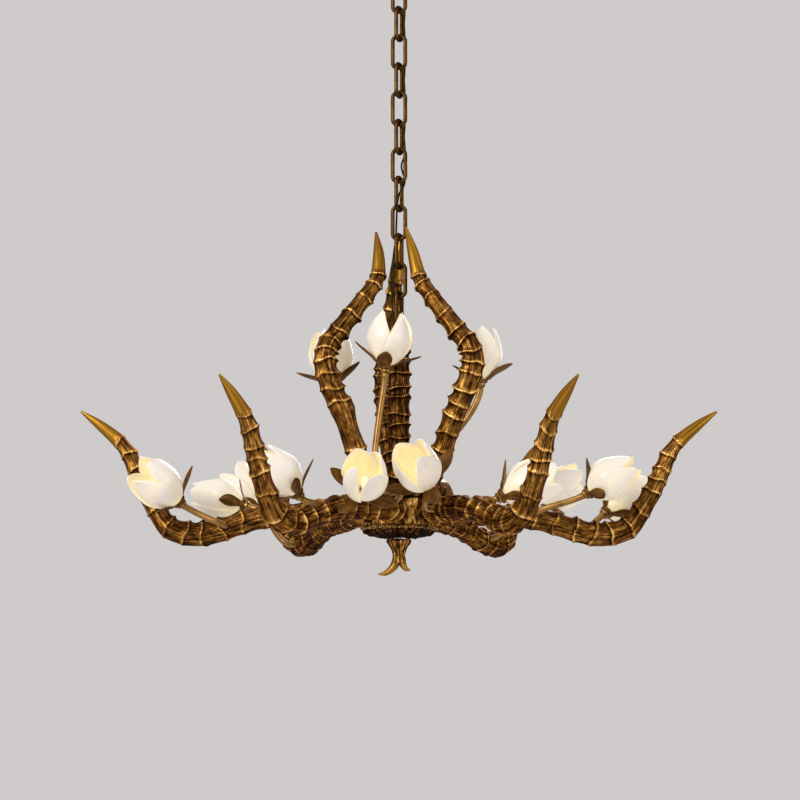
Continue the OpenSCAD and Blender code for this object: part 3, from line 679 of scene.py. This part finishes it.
# Flowers: the horn each grows on, place along it and side angle (or -1 and x, y on the crown plate), then its
# foot, its direction and how far its petals' tips stand open
FLOWERS = [
    (3, 3.8, 5, (-321, -36, 12), (-0.68, -0.5, 0.53), 0.7),
    (3, 2.65, 170, (-228, 34, 15), (-0.95, 0.22, 0.25), 0.7),
    (2, 5.3, 0, (-219, 282, 24), (-0.6, 0.25, 0.75), 0.7),
    (4, 2.7, 165, (-141, -143, 14), (-0.62, -0.3, 0.66), 0.62),
    (4, 0.7, 45, (-50, -158, 18), (0.02, -0.93, 0.34), 0.78),
    (5, 0.95, 180, (42, -132, 31), (-0.28, -0.85, 0.42), 0.74),
    (-1, -38, -54, (-20, -50, 209), (0.12, -0.11, 0.98), 0.5),
    (-1, -36, 18, (-104, 8, 190), (0, 0.1, 0.99), 0.55),
    (-1, 42, 21, (123, 8, 195), (0.02, 0.1, 0.99), 0.55),
    (5, 2.6, 35, (140, -172, 10), (0.85, 0.15, 0.4), 0.7),
    (1, 4.2, 170, (210, 225, 39), (0.85, 0.1, 0.35), 0.75),
    (0, 2.9, 165, (276, -36, 27), (0.8, -0.38, 0.47), 0.62),
    (0, 4.4, 5, (309, 36, 2), (0.72, 0.45, 0.53), 0.7),
    (1, 0.7, 45, (50, 158, 18), (-0.02, 0.93, 0.34), 0.98),
    (2, 0.95, 180, (-42, 132, 31), (0.28, 0.85, 0.42), 0.9),
]


def flower_frame(f):
    """Columns are the flower's own x, y and z in the row frame, as CAD's aim() turns them, and its foot."""
    w = unit(f[4])
    tilt, turn = math.acos(w[2]), math.atan2(w[1], w[0])
    ry = np.array([[math.cos(tilt), 0, math.sin(tilt)], [0, 1, 0], [-math.sin(tilt), 0, math.cos(tilt)]])
    rz = np.array([[math.cos(turn), -math.sin(turn), 0], [math.sin(turn), math.cos(turn), 0], [0, 0, 1]])
    return rz @ ry, np.array(f[3]) + np.array([0, 0, HUB_Z])


def stem_start(f):
    """Where a stem leaves its horn or the crown plate, and which way."""
    if f[0] < 0:
        return np.array([f[1], f[2], PLATE_TOP - 8.0]), np.array([0, 0, 1.0])
    p = on_curve(ARM, f[1])[0]
    way = unit((on_curve(ARM, f[1] + 0.04) - on_curve(ARM, f[1] - 0.04))[0][:3])
    side = unit(np.array([0, 1.0, 0]) - way * way[1])
    a = math.radians(f[2])
    out_way = side * math.cos(a) + np.cross(way, side) * math.sin(a)
    return turn_z(p[:3] + out_way * (p[3] * 0.5), 60 * f[0]), turn_z(out_way, 60 * f[0])


def stems():
    """Bent tubes to the flowers, all as one piece."""
    build = Build()
    for f in FLOWERS:
        start, way = stem_start(f)
        a, b = start + way * (12 if f[0] < 0 else 14), np.array(f[3], float)
        reach = np.linalg.norm(b - a)
        da, db = way * reach * 0.9, unit(f[4]) * reach * 0.9
        u = np.linspace(0, 1, 26)[:, None]
        line = a * (2 * u**3 - 3 * u**2 + 1) + b * (3 * u**2 - 2 * u**3)
        line = line + da * (u**3 - 2 * u**2 + u) + db * (u**3 - u**2)
        line = np.concatenate([[start, (start + a) / 2], line]) + np.array([0, 0, HUB_Z])
        radii = np.full(len(line), 4.8)
        radii[-3:] = (5.0, 5.4, 6.0)
        angle = np.linspace(0, 2 * np.pi, 20, endpoint=False)
        length = np.concatenate([[0], np.cumsum(np.linalg.norm(np.diff(line, axis=0), axis=1))]) * MM
        sweep(build, line, radii, 20, first=(0.3, 0.2, 1), grain=ring_grain(0.004, angle, length + f[1]))
    build.make("flower_stem_tubes", STEM, slot="brass_stem", node="flower_stems")


stems()

# Petals and calyx leaves, both drawn in the flower's own frame
SHADE_Z, SHADE_H = 11.6, 84.0


def petal_radius(up, share):
    """Outer radius of a closed ring of petals at a share of the shade's height."""
    low = 8.3 + 24.2 * np.sin(np.pi / 2 * np.clip(up / 0.5, 0, 1)) ** 0.66
    return low * (1 - (1 - share) * np.clip((up - 0.45) / 0.55, 0, 1) ** 1.8)


def petals(build, seed, share, hand, mids, lean, blunt):
    """Four overlapping petals round the flower's own axis, each a closed thin shell.

    share is how far the tips stand open, hand the edge that lies outside, mids the way each petal faces in
    degrees, lean how far each leans in, and blunt how round its end is.
    """
    r = np.random.default_rng(seed)
    rows, cols = 32, 21
    v = np.linspace(0, 1, rows)[:, None]
    u = np.linspace(-1, 1, cols)[None]
    for i in range(4):
        mid = math.radians(mids[i] + r.uniform(-5, 5))
        tall = r.uniform(0.93, 1.0)
        x = 0.985 * np.clip((v - 0.26) / 0.74, 0, 1)
        width = math.radians(r.uniform(57, 62)) * (1 - x ** (1.65 + 0.7 * blunt)) ** (0.76 - 0.12 * blunt)
        width = width * (0.80 + 0.20 * smooth(v, 0, 0.25))
        angle = mid + u * width
        up = v * tall + 0.01 * np.sin(3 * u + i) * v
        height = SHADE_Z + SHADE_H * up
        rad = petal_radius(up, share) * (1 + 0.05 * (1 - u**2) * v) + 2.4 * hand * u * smooth(v, 0.05, 0.4)
        rad = rad + r.uniform(-0.5, 1.0) * 3.0 * share * smooth(v, 0.7, 1.0) + 0.5 * np.cos(5 * u + i) * v
        rad = rad * (1 - lean[i] * np.maximum(0, v - 0.35) ** 1.3)
        thick = 1.5 - 0.7 * v
        shells = []
        for rr in (rad, rad - thick):
            shells.append(np.stack([rr * np.cos(angle), rr * np.sin(angle), height], -1).reshape(-1, 3))
        # Painted light of the lamp through the petal: outside, a glow near the foot and a painted highlight
        # along the edges and tip, less a painted shadow near the edge that lies under the next petal; inside,
        # a glow strongest low down that sinks to painted shade towards the edges
        edge = np.clip(np.abs(u) ** 9 + smooth(v, 0.96, 1.0), 0, 1)
        outer = 0.10 + 0.42 * np.exp(-v / 0.2) + 0.20 * edge - 0.16 * np.exp(-((u + 0.72) / 0.16) ** 2) * v
        inner = 0.86 - 0.40 * v - 0.34 * np.abs(u) ** 3 - 0.05 * np.cos(9 * u)
        glow = np.concatenate([(outer + 0 * rad).ravel(), (inner + 0 * rad).ravel()])
        where = 0.03 * np.cos(angle), 0.03 * np.sin(angle), 0.08 * up + seed
        grain = np.stack(where, -1).reshape(-1, 3)
        build.add(np.concatenate(shells), shell_faces(rows, cols), glow=glow,
                  grain=np.concatenate([grain, grain]))


def placed(build, f):
    """Turns the collected points from the flower's own frame to the row frame."""
    m, foot = flower_frame(f)
    build.verts = [p @ m.T + foot for p in build.verts]
    return build


# By flower: the way its four petals face round its axis, how far each leans in, and how blunt their ends are
ROLL = [48, 25, 0, 5, 0, 0, 22, 0, 40, 0, 0, -15, 0, -41, -25]
MIDS = {4: (35, 118, 195, 290), 5: (60, 142, 226, 316)}
LEAN = {
    1: (0.75, 0.7, 0.75, 0.7), 3: (0.4, 0.55, 0.4, 0.4), 4: (0.35, 0, 0, 1.0), 5: (0.5, 0, 0, 0.2),
    11: (0.6, 0.6, 0.7, 0.6),
}
BLUNT = {1: 1.6, 6: 0, 7: 0, 8: 0, 11: 1.9}
for n, f in enumerate(FLOWERS):
    label = f"{n + 1:02d}"
    hand = -1 if n in (6, 11) else 1
    mids = MIDS.get(n, [65 + 90 * i + ROLL[n] for i in range(4)])
    b = Build()
    petals(b, 100 + n, f[5], hand, mids, LEAN.get(n, (0, 0, 0, 0)), BLUNT.get(n, 1))
    placed(b, f).make(f"flower_petals_{label}", PETAL, slot="cream_petal", node=f"flower_shade_{label}")


def sepal(build, turn, length, width, splay, share, seed):
    """One leaf of a calyx: it hugs the petals, then stands away by splay. Widths under 0 are claws."""
    rows, cols = 26, 11
    v = np.linspace(0, 1, rows)
    z = np.linspace(8.6, 72, 240)
    r = np.maximum(petal_radius(np.clip((z - SHADE_Z) / SHADE_H, 0, 1), share) * 1.02 + 2.4, 10.5)
    arc = np.concatenate([[0], np.cumsum(np.hypot(np.diff(z), np.diff(r)))])
    start = 0.55 - 0.4 * splay
    away = length * (0.12 + 0.42 * splay) * (np.maximum(0, v - start) / (1 - start)) ** 1.5
    reach = np.interp(v * length, arc, r) + away
    height = np.interp(v * length, arc, z) - away * (0.25 + 0.8 * splay) * (1 - 0.35 * v)
    spoon = 1.6 if width > 0 else 0.9
    half = abs(width) / 2 * np.maximum(0.05, np.sin(np.pi * (0.12 + 0.88 * v**spoon)) ** 0.75)
    u = np.linspace(-1, 1, cols)
    slope = np.arctan2(np.gradient(height), np.gradient(reach))
    a = math.radians(turn) + 0.22 * math.sin(seed * 2.3) * v**2
    wave = 0.07 * abs(width) * np.sin(5 * v + seed) * v
    across = half[:, None] * u + wave[:, None]
    curl = 0.14 * half[:, None] * u**2 * (1 - v[:, None])
    trough = 0.34 * half[:, None] * (u**2 - 0.4) * v[:, None]
    c, s = np.cos(a)[:, None], np.sin(a)[:, None]
    shells = []
    for side in (0.55, -0.55):
        fold = side - curl - trough
        out = reach[:, None] + np.sin(slope)[:, None] * fold
        up = height[:, None] - np.cos(slope)[:, None] * fold
        shells.append(np.stack([out * c - across * s, out * s + across * c, up], -1).reshape(-1, 3))
    where = 0.01 * u[None], 0.0 * u[None] + seed * 0.1, (v * length * MM)[:, None]
    grain = np.stack(np.broadcast_arrays(*where), -1).reshape(-1, 3)
    build.add(np.concatenate(shells), shell_faces(rows, cols), grain=np.concatenate([grain, grain]))


# Calyx leaves: the way each points in the row frame, its length, width and splay
LEAVES = {
    0: [((0.5, -0.2, 1), 42, 15, 0.85), ((-0.2, -0.5, -1), 44, 14, 0.25), ((0, 1, -0.2), 40, 15, 0.5)],
    1: [((0, -1, 0.1), 38, 18, 0.1), ((0, 0.6, 1), 38, 15, 0.5), ((0, 0.6, -1), 38, 15, 0.4)],
    2: [((0.3, 0.3, 1), 38, -14, 0.6), ((0.2, -1, -0.6), 38, 19, 0.6), ((-0.6, 0.6, -0.5), 36, 14, 0.5)],
    3: [((0.6, -0.3, 1), 42, -15, 0.7), ((0.3, -1, -0.1), 38, 18, 0.15), ((-0.2, -0.3, -1), 40, 19, 0.7)],
    4: [((-1, 0, 0.35), 46, 20, 0.75), ((-0.8, 0, -1), 52, 26, 0.8), ((0.8, 0, -0.9), 50, 26, 0.8)],
    5: [((0.9, 0, 0.45), 52, 24, 0.75), ((-0.9, 0, -0.6), 50, 24, 0.75), ((0.5, 0, -1), 52, 26, 0.8)],
    6: [((-1, 0, 0), 48, -26, 0.5), ((-0.25, -1, 0), 32, -24, 0.3), ((1, 0.1, 0), 40, -24, 0.75),
        ((0.6, 1, 0), 38, -20, 0.6)],
    7: [((1, -0.3, 0), 46, -24, 0.5), ((-1, -0.2, 0), 38, -20, 0.95), ((0, 1, 0), 42, 14, 0.5)],
    8: [((1, -0.2, 0.2), 44, 27, 0.5), ((-1, 0.1, 0), 40, 16, 0.35), ((-0.3, -1, 0), 36, -13, 0.9),
        ((0.5, 1, 0), 36, -12, 0.9)],
    9: [((-0.7, -0.4, 1), 40, -15, 0.5), ((0, -1, -0.4), 40, 17, 0.4), ((0, 1, -0.4), 40, 16, 0.4)],
    11: [((-0.4, 0, 1), 40, -24, 0.45), ((0.3, -1, -0.3), 42, 20, 0.1), ((0, 0.8, -0.6), 40, 15, 0.6)],
    12: [((-0.3, -0.3, 1), 40, -14, 0.7), ((0.6, -0.8, -0.5), 40, 16, 0.4), ((0, 1, -0.6), 40, 15, 0.5)],
    13: [((0.8, 0, 0.7), 56, 44, 0.02), ((1, 0, -0.4), 50, 36, 0.05), ((-1, 0, -0.2), 46, 20, 0.6)],
}


def plain_leaves(n, m):
    """Three leaves for a flower that isn't in LEAVES, from its number and its frame."""
    r = np.random.default_rng(300 + n)
    ways = [m @ (math.cos(2.1 * i + n), math.sin(2.1 * i + n), 0) for i in range(3)]
    return [(way, r.uniform(38, 46), r.uniform(14, 18), r.uniform(0.2, 0.8)) for way in ways]


def calyxes():
    """All the calyxes as one piece, each with the small cup its leaves stand on."""
    whole = Build()
    cup = np.array([[0, 0, 5.9], [0, 0, 7.4], [0, 0, 10.2]])
    for n, f in enumerate(FLOWERS):
        b = Build()
        m = flower_frame(f)[0]
        for i, (way, length, width, splay) in enumerate(LEAVES.get(n) or plain_leaves(n, m)):
            side = np.asarray(way, float) @ m
            turn = math.degrees(math.atan2(side[1], side[0]))
            sepal(b, turn, length, width, splay, f[5], 10 * n + i)
        sweep(b, cup, (8.9, 10.8, 10.6), 24, first=(1, 0, 0), grain=np.zeros((72, 3)) + 0.01)
        placed(b, f)
        whole.add(np.concatenate(b.verts), b.faces, grain=np.concatenate(b.layers["grain"]))
    whole.make("calyx_leaves", LEAF, slot="bronze_leaf", node="calyx_cups")


calyxes()

# Chain: pitch, height of the first link's middle, turn of even and odd links, and the wire's radius. A link's
# half width and end radius are taken to the wire's middle, and its half length is the opening's
PITCH, FIRST_Z, LINK_TURN, WIRE = 44.5, -82.3, (64, -5), 3.1
HALF_W, END_R, HALF_IN = 9.65, 8.65, 22.4


def link(n):
    """One link: a bent wire, thinner at the weld seam in its right side."""
    z = FIRST_Z - (n - 1) * PITCH
    turn = math.radians(LINK_TURN[n % 2])
    top, flat = HALF_IN + WIRE, HALF_W - END_R
    arc = np.linspace(0, np.pi / 2, 9)[1:]
    corner = [(flat + END_R * math.sin(a), top - END_R + END_R * math.cos(a)) for a in arc]
    right = [(flat, top)] + corner + [(HALF_W, h) for h in (9, 5.5, 4.2, 3, 2.2, 0)]
    half = right + [(x, -h) for x, h in right[::-1][1:]]
    path = half + [(-x, -h) for x, h in half]
    x, h = np.array(path).T
    pts = np.stack([x * math.cos(turn), x * math.sin(turn), h + z], -1)
    count, sides = len(pts), 16
    way = np.roll(pts, -1, 0) - np.roll(pts, 1, 0)
    way /= np.linalg.norm(way, axis=1)[:, None]
    normal = np.array([-math.sin(turn), math.cos(turn), 0])
    inner = np.cross(way, normal)
    a = np.linspace(0, 2 * np.pi, sides, endpoint=False)
    seam = np.exp(-((h - 3.6) / 0.7) ** 2) * (x > 9)
    rad = WIRE * (1 + 0.02 * np.sin(5 * np.arange(count) + n) - 0.15 * seam) - 0.03
    ring = ring_points(pts, np.broadcast_to(normal, pts.shape), inner, rad[:, None], a)
    faces = (np.array(grid_faces(count + 1, sides)) % (count * sides)).tolist()
    build = Build()
    build.add(ring, faces, grain=ring_grain(0.003, a, np.arange(count) * 0.002 + n))
    build.make(f"chain_wire_{n:02d}", CHAIN, body=f"link_{n:02d}", slot="bronze_steel",
               node=f"chain_link_{n:02d}")


for n in range(1, 13):
    link(n)
for node_name in ("canopy_loop", "eye_bolt"):
    dress(node_name, CHAIN)

# Power cord: one stretch between each two neighbours in the chain. Its radius is a little under the solid's
CORD_R = 1.48
ROUTE = [
    (16, 8, -14), (16, 8, -24), (15.5, 8, -35), (13, 7, -48), (10, 5.9, -65), (8.8, 5.5, -82),
    (8.8, 5.5, -107), (7.9, 3, -127), (8.8, 5.5, -147), (8.8, 5.5, -196), (7.9, 3, -216), (8.8, 5.5, -235),
    (8.8, 5.5, -285), (7.9, 3, -304), (9, 5.8, -330), (3.7, 5.9, -349), (8.8, 5.5, -371), (5.7, 3.7, -384),
    (0.2, -0.4, -394), (-2.9, 6.1, -412), (-3.9, 6.1, -438), (-5, 6.2, -464), (-7.6, 0.4, -483),
    (-9.5, -5.3, -502), (-10.5, -6.3, -527), (-10.5, -6.7, -552), (-10, -6.6, -572), (-9.4, -7.8, -594),
    (-9, -9, -614), (-9, -9, -629), (-9, -9, -641),
]


def cord():
    """The cord's stretches, each from one link's middle to the next one's, and those to the cord's ends."""
    sides = 14
    line = on_curve(ROUTE, np.linspace(0, len(ROUTE) - 1, 601))
    heights = [FIRST_Z - PITCH * k for k in range(12)]
    cuts = [0] + [int(np.argmin(np.abs(line[:, 2] - z))) for z in heights] + [len(line) - 1]
    a = np.linspace(0, 2 * np.pi, sides, endpoint=False)
    for k in range(13):
        part = slice(cuts[k], cuts[k + 1] + 1)
        piece = line[part]
        way = np.gradient(line, axis=0)[part]
        way /= np.linalg.norm(way, axis=1)[:, None]
        side = np.array([0, 1.0, 0]) - way * way[:, 1:2]
        side /= np.linalg.norm(side, axis=1)[:, None]
        faces = tube_faces(len(piece), sides)
        build = Build()
        pts = ring_points(piece, side, np.cross(way, side), CORD_R, a)
        build.add(pts, faces, grain=ring_grain(0.0015, a, piece[:, 2] * MM))
        obj = build.make(f"cord_stretch_{k + 1:02d}", CORD, body=None, slot="olive_cord", node="power_cord")
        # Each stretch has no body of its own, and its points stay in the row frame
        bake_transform(obj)


cord()

# Floor, backdrop, light and camera. The floor's height and half width are in mm, and it fades over metres
BACKDROP = (0.617, 0.596, 0.591, 1)
FLOOR_Z, FLOOR_HALF = -2150, 6000
FADE_FROM, FADE_TO = 2.8, 5.8
CAMERA_AT = Vector((0.0015, -3.6, HUB_Z * MM - 0.2745))
CAMERA_TILT = 7.1


def seen_rays(tree):
    """1 for rays that show the background itself, 0 for those that light the object."""
    rays = add(tree, "ShaderNodeLightPath").outputs
    mirrored = maths(tree, "ADD", rays["Is Glossy Ray"], rays["Is Transmission Ray"])
    return maths(tree, "ADD", rays["Is Camera Ray"], mirrored, clamp=True)


def floor():
    """Pale floor under the object, which fades into the backdrop between two distances from the origin."""
    mat, t, b = shader("pale_floor", {"Roughness": 0.85, "Specular IOR Level": 0.1})
    where = add(t, "ShaderNodeNewGeometry").outputs["Position"]
    away = add(t, "ShaderNodeVectorMath", {0: where}, operation="LENGTH").outputs["Value"]
    over = FADE_TO - FADE_FROM
    fade = maths(t, "MULTIPLY", scaled(t, away, 1 / over, -FADE_FROM / over, clamp=True), seen_rays(t))
    plain = add(t, "ShaderNodeEmission", {"Color": BACKDROP, "Strength": 1.0})
    both = add(t, "ShaderNodeMixShader", {0: fade, 1: b.outputs[0], 2: plain.outputs[0]})
    t.links.new(both.outputs[0], t.nodes["Material Output"].inputs["Surface"])
    colour = ramp(t, noise(t, place(t), 3.0, 3.0), [(0.3, (0.72, 0.69, 0.675)), (0.7, (0.75, 0.72, 0.705))])
    t.links.new(colour, b.inputs["Base Color"])
    n = 13
    x, y = np.meshgrid(np.linspace(-FLOOR_HALF, FLOOR_HALF, n), np.linspace(-FLOOR_HALF, FLOOR_HALF, n))
    pts = np.stack([x, y, 0 * x + FLOOR_Z], -1).reshape(-1, 3)
    new_object("floor", pts, grid_faces(n, n, closed=False), mat, body=None)


def studio():
    """A world with the backdrop for rays that show it, and soft daylight for those that light the object."""
    world = bpy.data.worlds.new("studio")
    bpy.context.scene.world = world
    world.use_nodes = True
    t = world.node_tree
    t.nodes.clear()
    soft = add(t, "ShaderNodeBackground", {"Color": (0.93, 0.95, 1.0, 1), "Strength": 0.62})
    back = add(t, "ShaderNodeBackground", {"Color": BACKDROP, "Strength": 1.0})
    mix = add(t, "ShaderNodeMixShader", {0: seen_rays(t), 1: soft.outputs[0], 2: back.outputs[0]})
    out = add(t, "ShaderNodeOutputWorld")
    t.links.new(mix.outputs[0], out.inputs[0])


def area_light(name, at, to, size, power, colour):
    """A square light that shines from one place towards another."""
    light = bpy.data.lights.new(name, "AREA")
    light.size = size
    light.energy = power
    light.color = colour
    obj = bpy.data.objects.new(name, light)
    bpy.context.scene.collection.objects.link(obj)
    obj.location = at
    obj.rotation_euler = (Vector(to) - Vector(at)).to_track_quat("-Z", "Y").to_euler()


def main_camera():
    """The photograph's view: a long lens below the hub's height, tilted up."""
    camera = bpy.data.cameras.new("camera")
    camera.sensor_width = 36
    camera.lens = 108
    obj = bpy.data.objects.new("camera", camera)
    bpy.context.scene.collection.objects.link(obj)
    obj.location = CAMERA_AT
    obj.rotation_euler = (math.radians(90 + CAMERA_TILT), 0, 0)
    bpy.context.scene.camera = obj


floor()
studio()
area_light("key", (-1.6, -2.0, 0.35), (0, 0, -0.8), 1.2, 62, (1.0, 0.97, 0.92))
area_light("fill", (2.2, -1.6, -0.5), (0, 0, -0.8), 1.6, 24, (0.95, 0.97, 1.0))
area_light("rim", (0.6, 2.2, 0.2), (0, 0, -0.75), 1.4, 34, (1.0, 0.98, 0.95))
main_camera()
bpy.context.scene.view_settings.view_transform = "Standard"
